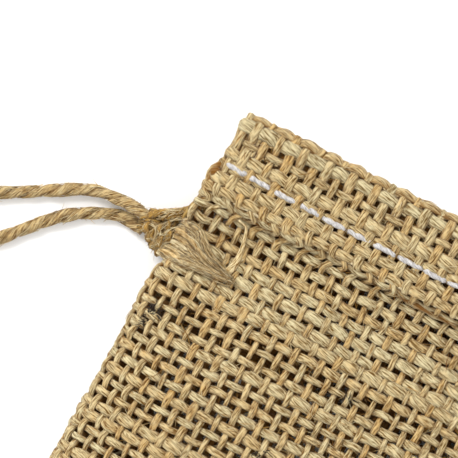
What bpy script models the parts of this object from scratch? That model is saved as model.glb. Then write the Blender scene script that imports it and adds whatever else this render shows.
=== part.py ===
"""A drawstring gift pouch of plain-woven jute, 10 x 14 cm, lying flat on its back panel.

The pouch is one strip of cloth folded at the bottom and sewn up both sides. Each
panel's mouth edge is turned in 14 mm and sewn down with a white thread, which leaves
a casing for one closed loop of jute twine. The loop goes round the mouth, leaves the
left side through the slit above the side seam, and is tied in an overhand knot with
two frayed tails. Metres; +X right across the mouth, +Y towards the mouth, +Z up.
"""

import math

import bmesh
import bpy
import numpy as np
from mathutils import Matrix, Vector

MM = 0.001

# Driving dimensions, in millimetres.
BODY_HALF_WIDTH = 50.0
MOUTH_HALF_WIDTH = 47.0
HALF_LENGTH = 70.0
CLOTH = 1.0  # thickness of one layer
GAP = 0.3  # clearance between pieces that touch
SEAM_Z = 5.0  # height of the side seams
HEADER_Z = 14.0  # height of the outer face of the front header
BOTTOM_EDGE = -68.6  # where the panels stop at the bottom fold

FLAP_END = 55.6  # lower edge of the turned-in hem
FLAP_HALF_WIDTH = 43.5
SLIT_START = 47.0  # the side seams stop here
SLIT_END = 55.0  # above this the two headers lie apart
HEM_STITCH_Y = 60.5
CASING_STITCH_Y = 56.3
STITCH_PITCH = 4.3
WHITE_THREAD = 0.9  # diameters of the threads
NATURAL_THREAD = 0.6
SEAM_THREAD = 0.8
ALLOWANCE_THICKNESS = 1.5  # both layers of a seam allowance, pressed
ALLOWANCE_INSETS = (1.2, 2.6, 5.0, 8.0)  # places across it, in from the pouch's edge

TWINE = 2.0  # diameter
CASING_Y = 58.3  # centre line of the twine inside the casing
FRONT_TWINE_Z = HEADER_Z - CLOTH - GAP - TWINE / 2
BACK_TWINE_Z = CLOTH + GAP + TWINE / 2
RUN_HALF_LENGTH = 43.7
CASING_HALF_WIDTH = 3.2  # half the width of the swelling that the twine makes

KNOT_CENTRE = Vector((-49.3, 46.7, 3.1))
KNOT_RADII = Vector((2.7, 3.7, 2.8))
KNOT_TURN = math.radians(27)
DENT_DEPTH = 3.3  # how far the knot draws the left edge in
DENT_SPREAD = 3.6
TAIL_CLEARANCE = 1.5  # the tails lie lightly on the rounded cloth

# Routes of the free twine, in millimetres.
FRONT_EXIT = [
    (-44.0, 58.3, 11.7),
    (-44.9, 58.2, 11.6),
    (-46.2, 57.3, 10.7),
    (-46.9, 55.8, 9.4),
    (-47.3, 53.9, 7.9),
    (-48.1, 52.2, 6.7),
    (-49.0, 50.9, 6.1),
]
BACK_EXIT = [
    (-44.0, 58.3, 2.3),
    (-44.9, 58.2, 2.3),
    (-46.0, 57.2, 2.4),
    (-46.5, 55.6, 2.7),
    (-46.9, 53.6, 3.2),
    (-47.4, 51.7, 3.8),
    (-47.9, 50.7, 4.0),
]
PULL_LOOP = [
    (-52.9, 48.1, 3.3),
    (-55.9, 48.6, 3.3),
    (-59.4, 48.6, 2.2),
    (-62.6, 48.3, 1.2),
    (-65.9, 47.0, 1.0),
    (-69.3, 45.0, 1.0),
    (-75.9, 41.3, 1.0),
    (-84.0, 36.9, 1.0),
    (-93.0, 32.6, 1.0),
    (-102.0, 29.3, 1.0),
    (-110.0, 26.8, 1.0),
    (-116.2, 23.6, 1.0),
    (-119.2, 18.6, 1.0),
    (-118.2, 13.0, 1.0),
    (-113.4, 9.8, 1.0),
    (-107.0, 10.0, 1.0),
    (-99.5, 13.4, 1.0),
    (-91.0, 19.0, 1.0),
    (-82.5, 26.0, 1.0),
    (-76.0, 32.2, 1.0),
    (-72.7, 35.1, 1.0),
    (-68.2, 40.0, 1.0),
    (-64.7, 43.1, 1.0),
    (-60.8, 45.3, 1.0),
    (-57.0, 46.5, 1.0),
    (-53.4, 45.9, 1.2),
]
TAIL_CURL = [
    (-37.2, 46.6),
    (-36.8, 48.8),
    (-37.6, 51.4),
    (-39.4, 54.0),
]


def smooth_rise(start, end, value):
    """0 below start, 1 above end, and a smooth S between them."""
    t = min(max((value - start) / (end - start), 0.0), 1.0)
    return t * t * (3 - 2 * t)


def mix(a, b, share):
    return a + (b - a) * share


def half_width(y):
    """Half the width of the pouch at y: it widens from the mouth to the body."""
    width = mix(BODY_HALF_WIDTH, MOUTH_HALF_WIDTH, smooth_rise(5.0, 66.0, y))
    corner = min(max((BOTTOM_EDGE + 4.0 - y) / 4.0, 0.0), 1.0)
    return width - 2.5 * (1 - math.sqrt(1 - corner * corner))


def edge(y, side):
    """x of the pouch's edge at y, on the left (-1) or the right (1)."""
    dent = DENT_DEPTH * math.exp(-(((y - KNOT_CENTRE.y) / DENT_SPREAD) ** 2) / 2)
    return side * (half_width(y) - (dent if side < 0 else 0.0))


def swell(distance, reach):
    """How far cloth has lifted, from 0 at a seam to 1 at reach from it."""
    t = min(max(distance / reach, 0.0), 1.0)
    return (1 - (1 - t) ** 2.2) ** 0.556


def front_under(x, y):
    """Underside of the front panel: domed over the body, level over the header."""
    side = 1 if x >= 0 else -1
    lift = swell(abs(edge(y, side)) - abs(x), 24.0) * swell(y - BOTTOM_EDGE, 26.0)
    low = SEAM_Z + GAP / 2
    top = HEADER_Z - CLOTH
    return mix(mix(low, top, lift), top, smooth_rise(SLIT_START, SLIT_END, y))


def back_over(x, y):
    """Upper face of the back panel: flat on its rest, turned up towards the seams."""
    side = 1 if x >= 0 else -1
    drop = swell(abs(edge(y, side)) - abs(x), 14.0) * swell(y - BOTTOM_EDGE, 16.0)
    high = SEAM_Z - GAP / 2
    return mix(mix(high, CLOTH, drop), CLOTH, smooth_rise(SLIT_START, SLIT_END, y))


def between(x, y):
    """Height half way between the two panels."""
    return (front_under(x, y) + back_over(x, y)) / 2


def casing_sag(y):
    """How far the turned-in flap stands off its panel to let the twine through."""
    t = min(abs(y - CASING_Y) / CASING_HALF_WIDTH, 1.0)
    return GAP + (TWINE + GAP + 0.1) * math.cos(t * math.pi / 2) ** 2


def knot_top(x, y):
    """Height of the knot's upper face over (x, y), or below everything outside it."""
    place = Matrix.Rotation(-KNOT_TURN, 2) @ Vector((x - KNOT_CENTRE.x, y - KNOT_CENTRE.y))
    left = 1 - (place.x / KNOT_RADII.x) ** 2 - (place.y / KNOT_RADII.y) ** 2
    return KNOT_CENTRE.z + KNOT_RADII.z * math.sqrt(left) if left > 0 else -1.0


def resting_height(x, y):
    """Where something lying loosely on the pouch and the knot would rest at (x, y)."""
    inside = x > edge(y, -1)
    cloth = front_under(x, y) + CLOTH if inside else -1.0
    return max(cloth, knot_top(x, y), SEAM_Z) + TAIL_CLEARANCE


def material(name, colour, roughness):
    made = bpy.data.materials.new(name)
    made.use_nodes = True
    shader = made.node_tree.nodes["Principled BSDF"]
    shader.inputs["Base Color"].default_value = (*colour, 1.0)
    shader.inputs["Roughness"].default_value = roughness
    shader.inputs["Metallic"].default_value = 0.0
    made.diffuse_color = (*colour, 1.0)
    return made


def add_mesh(name, bm, finish, smooth=True):
    """Closes a bmesh made in millimetres into a named object in metres."""
    bmesh.ops.scale(bm, vec=(MM, MM, MM), verts=bm.verts)
    bmesh.ops.recalc_face_normals(bm, faces=bm.faces)
    mesh = bpy.data.meshes.new(name)
    bm.to_mesh(mesh)
    bm.free()
    if smooth:
        mesh.shade_smooth()
        mesh.set_sharp_from_angle(angle=math.radians(40))
    mesh.materials.append(finish)
    made = bpy.data.objects.new(name, mesh)
    bpy.context.scene.collection.objects.link(made)
    return made


def sheet_solid(name, across, along, place, thickness, finish):
    """A cloth solid: a grid laid by place(u, v), then thickened straight up."""
    bm = bmesh.new()
    bmesh.ops.create_grid(
        bm,
        x_segments=len(across) - 1,
        y_segments=len(along) - 1,
        size=1.0,
    )
    for vert in bm.verts:
        column = round((vert.co.x + 1) / 2 * (len(across) - 1))
        row = round((vert.co.y + 1) / 2 * (len(along) - 1))
        vert.co = place(across[column], along[row])
    upper = bmesh.ops.extrude_face_region(bm, geom=bm.faces[:])
    raised = [part for part in upper["geom"] if isinstance(part, bmesh.types.BMVert)]
    for vert in raised:
        vert.co.z += thickness(vert.co.x, vert.co.y)
    return add_mesh(name, bm, finish)


def smooth_points(route, spacing):
    """Points about spacing apart on a smooth curve through the route's points."""
    knots = [Vector(point) for point in route]
    knots = [2 * knots[0] - knots[1], *knots, 2 * knots[-1] - knots[-2]]
    points = []
    for a, b, c, d in zip(knots, knots[1:], knots[2:], knots[3:]):
        steps = max(1, round((c - b).length / spacing))
        for step in range(steps):
            t = step / steps
            bend = 2 * b + (c - a) * t
            bend += (2 * a - 5 * b + 4 * c - d) * t * t
            bend += (3 * b - a - 3 * c + d) * t**3
            points.append(bend / 2)
    return [*points, knots[-2]]


def twine(name, route, finish, diameter=TWINE, spacing=4.4):
    """A round cord along a smooth curve through the route, with filled ends."""
    points = smooth_points(route, spacing)
    curve = bpy.data.curves.new(name, "CURVE")
    curve.dimensions = "3D"
    curve.bevel_depth = diameter / 2 * MM
    curve.bevel_resolution = 2
    curve.use_fill_caps = True
    spline = curve.splines.new("POLY")
    spline.points.add(len(points) - 1)
    for target, point in zip(spline.points, points):
        target.co = (*(point * MM), 1.0)
    curve.materials.append(finish)
    made = bpy.data.objects.new(name, curve)
    bpy.context.scene.collection.objects.link(made)
    return made


def stitch_line(name, y, z, thickness, finish):
    """One continuous thread across the header, pinched where each stitch dips in."""
    count = int(2 * FLAP_HALF_WIDTH / STITCH_PITCH)
    curve = bpy.data.curves.new(name, "CURVE")
    curve.dimensions = "3D"
    curve.bevel_depth = thickness / 2 * MM
    curve.bevel_resolution = 1
    curve.use_fill_caps = True
    spline = curve.splines.new("POLY")
    spline.points.add(2 * count)
    for number, point in enumerate(spline.points):
        x = (number - count) * STITCH_PITCH / 2
        point.co = (x * MM, y * MM, z * MM, 1.0)
        point.radius = 1.0 if number % 2 else 0.5
    curve.materials.append(finish)
    made = bpy.data.objects.new(name, curve)
    bpy.context.scene.collection.objects.link(made)
    return made


def make_panels(cloth):
    """The front and back panels, each a single domed layer of cloth."""
    steps = np.linspace(-1, 1, 17)
    across = [math.copysign(1 - (1 - abs(u)) ** 2, u) for u in steps]
    near_bottom = BOTTOM_EDGE + 32.0 * np.linspace(0, 1, 7) ** 1.8
    body = np.linspace(near_bottom[-1], 36.0, 6)[1:]
    slit = np.linspace(36.0, SLIT_END + 1.0, 13)[1:]
    header = np.linspace(SLIT_END + 1.0, HALF_LENGTH, 4)[1:]
    along = [float(y) for y in (*near_bottom, *body, *slit, *header)]

    def at(height):
        def place(u, y):
            x = abs(u) * edge(y, 1 if u >= 0 else -1)
            return Vector((x, y, height(x, y)))

        return place

    def one_layer(x, y):
        return CLOTH

    sheet_solid("front_panel", across, along, at(front_under), one_layer, cloth)
    sheet_solid(
        "back_panel",
        across,
        along,
        at(lambda x, y: back_over(x, y) - CLOTH),
        one_layer,
        cloth,
    )


def make_bottom_fold(cloth):
    """The rounded strip at the foot, where the cloth turns from front to back."""
    bm = bmesh.new()
    height = 2 * CLOTH + GAP
    depth = HALF_LENGTH + BOTTOM_EDGE - GAP
    reach = half_width(BOTTOM_EDGE) - 0.5
    bmesh.ops.create_circle(bm, cap_ends=True, segments=16, radius=1.0)
    bmesh.ops.bisect_plane(
        bm,
        geom=bm.verts[:] + bm.edges[:] + bm.faces[:],
        plane_co=(0, 0, 0),
        plane_no=(0, 1, 0),
        clear_outer=True,
    )
    bmesh.ops.scale(bm, vec=(height / 2, depth, 1.0), verts=bm.verts)
    upright = Matrix.Rotation(math.radians(90), 3, "Y")
    bmesh.ops.rotate(bm, cent=(0, 0, 0), matrix=upright, verts=bm.verts)
    bmesh.ops.translate(bm, vec=(-reach, BOTTOM_EDGE - GAP, SEAM_Z), verts=bm.verts)
    far = bmesh.ops.extrude_face_region(bm, geom=bm.faces[:])
    moved = [part for part in far["geom"] if isinstance(part, bmesh.types.BMVert)]
    bmesh.ops.translate(bm, vec=(2 * reach, 0, 0), verts=moved)
    add_mesh("bottom_fold", bm, cloth)


def make_flaps(cloth):
    """The turned-in hems, which stand off the panels round the twine."""
    across = list(np.linspace(-FLAP_HALF_WIDTH, FLAP_HALF_WIDTH, 7))
    swelling = np.linspace(FLAP_END, CASING_Y + CASING_HALF_WIDTH, 9)
    upper = np.linspace(CASING_Y + CASING_HALF_WIDTH, HALF_LENGTH - GAP, 3)[1:]
    along = [float(y) for y in (*swelling, *upper)]
    face = HEADER_Z - CLOTH

    def front(x, y):
        return Vector((x, y, face - casing_sag(y) - CLOTH))

    def back(x, y):
        return Vector((x, y, CLOTH + casing_sag(y)))

    def one_layer(x, y):
        return CLOTH

    sheet_solid("front_hem_flap", across, along, front, one_layer, cloth)
    sheet_solid("back_hem_flap", across, along, back, one_layer, cloth)


def make_seams(cloth, thread):
    """Inside each side seam: the allowance of both layers, and its edge thread."""
    along = list(np.linspace(-62.0, 38.0, 14))
    for side, name in ((-1, "left"), (1, "right")):

        def place(inset, y, side=side):
            x = edge(y, side) - side * inset
            return Vector((x, y, between(x, y) - ALLOWANCE_THICKNESS / 2))

        def layers(x, y):
            return ALLOWANCE_THICKNESS

        strip = ALLOWANCE_INSETS if side < 0 else ALLOWANCE_INSETS[::-1]
        sheet_solid(f"{name}_seam_allowance", strip, along, place, layers, cloth)
        route = []
        for y in np.linspace(-60.0, 36.0, 13):
            x = edge(y, side) - side * (ALLOWANCE_INSETS[-1] + 2 * GAP + SEAM_THREAD / 2)
            route.append((x, y, between(x, y)))
        twine(f"{name}_seam_thread", route, thread, diameter=SEAM_THREAD, spacing=9.0)


def make_stitching(white, natural):
    """White thread holds each hem down, and natural thread closes each casing."""
    over_front = HEADER_Z + GAP + WHITE_THREAD / 2
    stitch_line("front_hem_stitch", HEM_STITCH_Y, over_front, WHITE_THREAD, white)
    over_hem = CLOTH + casing_sag(HEM_STITCH_Y - 0.6) + CLOTH + GAP + WHITE_THREAD / 2
    stitch_line("back_hem_stitch", HEM_STITCH_Y, over_hem, WHITE_THREAD, white)
    under = casing_sag(CASING_STITCH_Y + 0.5) + CLOTH + GAP + NATURAL_THREAD / 2
    front, back = HEADER_Z - CLOTH - under, CLOTH + under
    stitch_line("front_casing_stitch", CASING_STITCH_Y, front, NATURAL_THREAD, natural)
    stitch_line("back_casing_stitch", CASING_STITCH_Y, back, NATURAL_THREAD, natural)


def make_drawstring(jute):
    """The twine loop: two runs in the casings, the right bight and the left exits."""
    for name, z in (("front", FRONT_TWINE_Z), ("back", BACK_TWINE_Z)):
        ends = [(-RUN_HALF_LENGTH, CASING_Y, z), (RUN_HALF_LENGTH, CASING_Y, z)]
        twine(f"drawstring_{name}_run", ends, jute, spacing=12.0)
    middle = (FRONT_TWINE_Z + BACK_TWINE_Z) / 2
    radius = (FRONT_TWINE_Z - BACK_TWINE_Z) / 2
    bight = []
    for step in range(9):
        angle = math.pi / 2 - math.pi * step / 8
        x = RUN_HALF_LENGTH + 2 * GAP + radius * math.cos(angle)
        bight.append((x, CASING_Y, middle + radius * math.sin(angle)))
    twine("drawstring_right_bight", bight, jute, spacing=2.0)
    twine("drawstring_front_exit", FRONT_EXIT, jute, spacing=2.2)
    twine("drawstring_back_exit", BACK_EXIT, jute, spacing=2.2)
    twine("pull_loop", PULL_LOOP, jute)


def make_knot(jute):
    """The overhand knot that joins the loop's two ends, just outside the left edge."""
    bm = bmesh.new()
    bmesh.ops.create_uvsphere(bm, u_segments=14, v_segments=9, radius=1.0)
    bmesh.ops.scale(bm, vec=KNOT_RADII, verts=bm.verts)
    turn = Matrix.Rotation(KNOT_TURN, 3, "Z")
    bmesh.ops.rotate(bm, cent=(0, 0, 0), matrix=turn, verts=bm.verts)
    bmesh.ops.translate(bm, vec=KNOT_CENTRE, verts=bm.verts)
    add_mesh("joining_knot", bm, jute)


def make_tails(jute):
    """The frayed twine ends, which lie over the front panel beside the knot."""
    along = list(np.linspace(0, 1, 8))
    across = list(np.linspace(-1, 1, 4))

    def brush(u, v):
        x = mix(-48.0, -38.2, v)
        y = mix(46.9, 45.3, v) + u * mix(3.2, 1.6, v)
        return Vector((x, y, resting_height(x, y)))

    def fibres(x, y):
        return 1.2

    sheet_solid("knot_tail_brush", across, along, brush, fibres, jute)
    curl = [(x, y, resting_height(x, y) + GAP) for x, y in TAIL_CURL]
    twine("knot_tail_curl", curl, jute, diameter=1.2, spacing=2.2)


for old in list(bpy.data.objects):
    bpy.data.objects.remove(old, do_unlink=True)

jute_cloth = material("jute_hessian", (0.56, 0.40, 0.21), 0.9)
jute_twine = material("jute_twine", (0.45, 0.28, 0.12), 0.85)
white_thread = material("white_cotton_thread", (0.88, 0.88, 0.90), 0.7)
natural_thread = material("natural_jute_thread", (0.60, 0.45, 0.26), 0.8)

make_panels(jute_cloth)
make_bottom_fold(jute_cloth)
make_flaps(jute_cloth)
make_seams(jute_cloth, natural_thread)
make_stitching(white_thread, natural_thread)
make_drawstring(jute_twine)
make_knot(jute_twine)
make_tails(jute_twine)
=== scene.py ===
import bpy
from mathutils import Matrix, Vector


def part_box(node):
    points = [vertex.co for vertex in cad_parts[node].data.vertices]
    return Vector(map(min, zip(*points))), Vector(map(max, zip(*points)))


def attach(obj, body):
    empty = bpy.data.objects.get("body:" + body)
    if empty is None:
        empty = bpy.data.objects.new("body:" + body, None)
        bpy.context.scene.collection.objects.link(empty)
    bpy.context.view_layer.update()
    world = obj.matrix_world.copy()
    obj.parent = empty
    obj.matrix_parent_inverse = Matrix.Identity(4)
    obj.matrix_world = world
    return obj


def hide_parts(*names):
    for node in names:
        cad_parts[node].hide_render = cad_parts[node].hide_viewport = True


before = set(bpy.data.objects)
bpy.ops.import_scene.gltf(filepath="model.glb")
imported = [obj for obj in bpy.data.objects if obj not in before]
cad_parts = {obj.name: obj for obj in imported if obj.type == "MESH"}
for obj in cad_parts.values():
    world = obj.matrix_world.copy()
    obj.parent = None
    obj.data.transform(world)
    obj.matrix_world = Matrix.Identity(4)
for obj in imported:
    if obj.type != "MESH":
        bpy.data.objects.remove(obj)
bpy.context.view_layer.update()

import math

import bmesh
import bpy
import numpy as np
from mathutils import Vector

MM = 0.001
rng = np.random.default_rng(14)

# ---------------------------------------------------------------- sizes, in millimetres


def node_box(node):
    """Lowest and highest corners of a CAD node, in millimetres."""
    low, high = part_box(node)
    return np.array(low) / MM, np.array(high) / MM


front_low, front_high = node_box("front_panel")
flap_low, flap_high = node_box("front_hem_flap")
run_low, run_high = node_box("drawstring_front_run")
stitch_low, stitch_high = node_box("front_hem_stitch")
fold_low, _ = node_box("bottom_fold")

BODY_HALF_WIDTH = front_high[0]
MOUTH_HALF_WIDTH = 47.0
TOP_Y = front_high[1]
PANEL_FOOT = front_low[1]
FOOT_Y = fold_low[1]
HEADER_Z = front_high[2]
CLOTH = 1.0
GAP = 0.3
SEAM_Z = front_low[2] - GAP / 2
SLIT_START = 47.0  # from here up the edge is open, for the twine to leave by
SLIT_END = 55.0
FLAP_END = flap_low[1]
FLAP_HALF_WIDTH = flap_high[0]
HEM_STITCH_Y = (stitch_low[1] + stitch_high[1]) / 2
CASING_Y = (run_low[1] + run_high[1]) / 2
CASING_HALF_WIDTH = 3.2
TWINE = run_high[2] - run_low[2]
DENT_Y = 46.7  # the knot has pressed the left edge in here
DENT_DEPTH = 1.9
DENT_SPREAD = 2.6
BULGE = 0.95  # the casing's open end stands out beyond the pressed hem
CORNER_HEIGHT = 4.0  # of the foot's rounded corners
CORNER_WIDTH = 2.5

PITCH = 2.1  # distance between yarns, both ways
ALLOWANCE = 8.0  # width of the turned-in seam allowance

# The pull loop's route, the same points as the CAD tube's.
PULL_LOOP = [
    (-52.9, 48.1, 3.3),
    (-55.9, 48.6, 3.3),
    (-59.4, 48.6, 2.2),
    (-62.6, 48.3, 1.2),
    (-65.9, 47.0, 1.0),
    (-69.3, 45.0, 1.0),
    (-75.9, 41.3, 1.0),
    (-84.0, 36.9, 1.0),
    (-93.0, 32.6, 1.0),
    (-102.0, 29.3, 1.0),
    (-110.0, 26.8, 1.0),
    (-116.2, 23.6, 1.0),
    (-119.2, 18.6, 1.0),
    (-118.2, 13.0, 1.0),
    (-113.4, 9.8, 1.0),
    (-107.0, 10.0, 1.0),
    (-99.5, 13.4, 1.0),
    (-91.0, 19.0, 1.0),
    (-82.5, 26.0, 1.0),
    (-76.0, 32.2, 1.0),
    (-72.7, 35.1, 1.0),
    (-68.2, 40.0, 1.0),
    (-64.7, 43.1, 1.0),
    (-60.8, 45.3, 1.0),
    (-57.0, 46.5, 1.0),
    (-53.4, 45.9, 1.2),
]

# ---------------------------------------------------------------- camera, floor, light

VIEW_TURN = math.radians(27)
VIEW_CENTRE = (-41.3, 52.4)
VIEW_WIDTH = 71.6
CAMERA_HEIGHT = 600.0


def make_stage():
    """A long-lens camera straight above the corner, a white floor and soft light."""
    lens = bpy.data.cameras.new("camera")
    lens.sensor_width = 36.0
    lens.lens = 36.0 * (CAMERA_HEIGHT - HEADER_Z) / VIEW_WIDTH
    lens.clip_start = 0.01
    lens.clip_end = 20.0
    camera = bpy.data.objects.new("camera", lens)
    camera.location = (VIEW_CENTRE[0] * MM, VIEW_CENTRE[1] * MM, CAMERA_HEIGHT * MM)
    camera.rotation_euler = (0.0, 0.0, VIEW_TURN)
    bpy.context.scene.collection.objects.link(camera)
    bpy.context.scene.camera = camera

    bm = bmesh.new()
    bmesh.ops.create_grid(bm, x_segments=1, y_segments=1, size=3.0)
    mesh = bpy.data.meshes.new("floor")
    bm.to_mesh(mesh)
    bm.free()
    floor = bpy.data.objects.new("floor", mesh)
    bpy.context.scene.collection.objects.link(floor)
    mesh.materials.append(plain_finish("studio_floor", "#FBFBFA", 0.9))

    world = bpy.data.worlds.new("studio")
    world.use_nodes = True
    world.node_tree.nodes["Background"].inputs["Color"].default_value = (1.0, 1.0, 1.0, 1.0)
    world.node_tree.nodes["Background"].inputs["Strength"].default_value = 0.95
    bpy.context.scene.world = world

    up = Vector((-math.sin(VIEW_TURN), math.cos(VIEW_TURN), 0))
    side = Vector((math.cos(VIEW_TURN), math.sin(VIEW_TURN), 0))
    for name, place, power, size in (
        ("key", 0.55 * up - 0.35 * side + Vector((0, 0, 0.6)), 5.5, 0.3),
        ("fill", -0.4 * up + 0.5 * side + Vector((0, 0, 0.7)), 1.0, 0.5),
    ):
        lamp = bpy.data.lights.new(name, "AREA")
        lamp.energy = power
        lamp.size = size
        made = bpy.data.objects.new(name, lamp)
        made.location = place
        made.rotation_euler = (-place).to_track_quat("-Z", "Y").to_euler()
        bpy.context.scene.collection.objects.link(made)
    bpy.context.scene.view_settings.view_transform = "Standard"


# ---------------------------------------------------------------- materials

STREAKS = 0.7  # streaks to the millimetre along a yarn, so each is some 1.4 mm long


def linear(hex_colour):
    """An sRGB hex colour as linear RGBA."""
    parts = [int(hex_colour[i : i + 2], 16) / 255 for i in (1, 3, 5)]
    return (*[c / 12.92 if c <= 0.04045 else ((c + 0.055) / 1.055) ** 2.4 for c in parts], 1.0)


def add_node(tree, kind, inputs=None, **settings):
    """A node with its settings; inputs maps a socket to a value or an output."""
    node = tree.nodes.new(kind)
    for key, value in settings.items():
        setattr(node, key, value)
    for key, value in (inputs or {}).items():
        if isinstance(value, bpy.types.NodeSocket):
            tree.links.new(value, node.inputs[key])
        else:
            node.inputs[key].default_value = value
    return node


def new_material(name):
    made = bpy.data.materials.new(name)
    made.use_nodes = True
    return made, made.node_tree, made.node_tree.nodes["Principled BSDF"]


def plain_finish(name, colour, roughness):
    made, _, shader = new_material(name)
    shader.inputs["Base Color"].default_value = linear(colour)
    shader.inputs["Roughness"].default_value = roughness
    return made


def jute_fibre(name, pale, tan, warm, painted_shade_colour, strand=0.13):
    """Retted jute, spun into a yarn: a bundle of flat, ribbon-like fibres.

    The fibres show as fine streaks along the yarn, strand millimetres apart: pale
    where they catch the light, tan between. Real ones are about 0.05 mm apart, so they
    are drawn coarser, to show. Each yarn has a shade of its own, from grey-beige to a
    warm straw. Painted shade, a dark brown, is mixed in where a yarn's rise is low:
    on the flanks and undersides that the weave hides and in the grooves of its outline.
    Dry and matt, with the faint sheen of a bast fibre.
    """
    made, tree, shader = new_material(name)
    place = add_node(tree, "ShaderNodeAttribute", attribute_name="straight")
    shade = add_node(tree, "ShaderNodeAttribute", attribute_name="shade")
    rise = add_node(tree, "ShaderNodeAttribute", attribute_name="rise")
    streaks = add_node(
        tree,
        "ShaderNodeMapping",
        {"Vector": place.outputs["Vector"], "Scale": (STREAKS, 1 / strand, 1 / strand)},
    )
    fibres = add_node(
        tree,
        "ShaderNodeTexNoise",
        {"Vector": streaks.outputs["Vector"], "Scale": 1.0, "Detail": 2.0, "Roughness": 0.65},
    )
    patches = add_node(
        tree,
        "ShaderNodeTexNoise",
        {"Vector": place.outputs["Vector"], "Scale": 0.9, "Detail": 4.0, "Roughness": 0.6},
    )
    ramp = add_node(tree, "ShaderNodeValToRGB", {"Fac": fibres.outputs["Fac"]})
    for stop, position, colour in zip(ramp.color_ramp.elements, (0.37, 0.57), (tan, pale)):
        stop.position = position
        stop.color = linear(colour)
    warmth = add_node(
        tree,
        "ShaderNodeMath",
        {0: patches.outputs["Fac"], 1: shade.outputs["Fac"]},
        operation="ADD",
    )
    share = add_node(
        tree,
        "ShaderNodeMapRange",
        {"Value": warmth.outputs["Value"], "From Min": 0.65, "From Max": 1.4},
    )
    tinted = add_node(
        tree,
        "ShaderNodeMix",
        {"Factor": share.outputs["Result"], "A": ramp.outputs["Color"], "B": linear(warm)},
        data_type="RGBA",
        blend_type="MULTIPLY",
    )
    # painted shade: the lower a point's rise, the more of the dark painted shade colour it gets
    buried_shade = add_node(
        tree,
        "ShaderNodeMapRange",
        {"Value": rise.outputs["Fac"], "From Min": 0.3, "From Max": -0.5, "To Max": 0.9},
    )
    painted_shading = add_node(
        tree,
        "ShaderNodeMix",
        {"Factor": buried_shade.outputs["Result"], "A": tinted.outputs["Result"], "B": linear(painted_shade_colour)},
        data_type="RGBA",
    )
    raised = add_node(
        tree,
        "ShaderNodeBump",
        {"Height": fibres.outputs["Fac"], "Strength": 1.0, "Distance": 0.00024},
    )
    tree.links.new(painted_shading.outputs["Result"], shader.inputs["Base Color"])
    tree.links.new(raised.outputs["Normal"], shader.inputs["Normal"])
    shader.inputs["Roughness"].default_value = 0.85
    shader.inputs["Specular IOR Level"].default_value = 0.25
    shader.inputs["Sheen Weight"].default_value = 0.08
    shader.inputs["Sheen Roughness"].default_value = 0.5
    return made


# ---------------------------------------------------------------- tubes


def outline_curve(radii):
    """A closed outline for sweeping: one point per radius, evenly round."""
    curve = bpy.data.curves.new("outline", "CURVE")
    curve.dimensions = "2D"
    spline = curve.splines.new("POLY")
    spline.points.add(len(radii) - 1)
    spline.use_cyclic_u = True
    for number, (point, radius) in enumerate(zip(spline.points, radii)):
        angle = -2 * math.pi * number / len(radii)
        point.co = (radius * math.cos(angle), radius * math.sin(angle), 0.0, 1.0)
    made = bpy.data.objects.new("outline", curve)
    bpy.context.scene.collection.objects.link(made)
    return made


GROOVE_SHADE = 1.6  # how much painted shade a groove in an outline shows
FLOOR_REST = 0.00002  # metres: what lies on the floor is pressed flat by it
FIBRE = (1.0, 1.0, 1.0)  # the outline of a single fibre


def lengths_along(points):
    """The distance from the first point to each, along the line."""
    return np.concatenate([[0.0], np.cumsum(np.linalg.norm(np.diff(points, axis=0), axis=1))])


def swept_mesh(name, lines, outline):
    """A tube along each line, with a ring of the outline's points at each of its points."""
    curve = bpy.data.curves.new(name, "CURVE")
    curve.dimensions = "3D"
    curve.bevel_mode = "OBJECT"
    curve.bevel_object = outline_curve(outline)
    curve.twist_mode = "MINIMUM"
    for line in lines:
        count = len(line["points"])
        spline = curve.splines.new("POLY")
        spline.points.add(count - 1)
        flat_points = np.ones((count, 4))
        flat_points[:, :3] = line["points"] * MM
        spline.points.foreach_set("co", flat_points.ravel())
        spline.points.foreach_set("radius", np.asarray(line["radius"]) * MM)
        if "tilt" in line:
            spline.points.foreach_set("tilt", line["tilt"])
    holder = bpy.data.objects.new(name, curve)
    bpy.context.scene.collection.objects.link(holder)
    depsgraph = bpy.context.evaluated_depsgraph_get()
    mesh = bpy.data.meshes.new_from_object(holder.evaluated_get(depsgraph), depsgraph=depsgraph)
    mesh.name = name
    bpy.data.objects.remove(curve.bevel_object)
    bpy.data.objects.remove(holder)
    return mesh


def shape_rings(mesh, lines, sides, uneven):
    """Roughens and flattens the tubes. Gives how far each point stands along its normal."""
    places = np.empty(len(mesh.vertices) * 3, dtype=np.float32)
    mesh.vertices.foreach_get("co", places)
    rings = places.reshape(-1, sides, 3).astype(float)
    centres = np.concatenate([line["points"] for line in lines])[:, None] * MM
    if uneven:
        stray = np.random.default_rng(len(lines)).normal(1.0, uneven, (len(rings), sides, 1))
        rings = centres + (rings - centres) * np.clip(stray, 0.75, 1.3)
    stands = 0.0
    if "normal" in lines[0]:
        normals = np.concatenate([line["normal"] for line in lines])
        flat = np.concatenate([np.full(len(line["points"]), line["flat"]) for line in lines])
        off = rings - centres
        height = np.einsum("nkc,nc->nk", off, normals)
        off -= height[:, :, None] * normals[:, None] * (1 - flat)[:, None, None]
        rings = centres + off
        stands = np.einsum("nkc,nc->nk", off, normals).ravel() / MM
    rings[:, :, 2] = np.maximum(rings[:, :, 2], FLOOR_REST)
    mesh.vertices.foreach_set("co", rings.astype(np.float32).ravel())
    return stands


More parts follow.
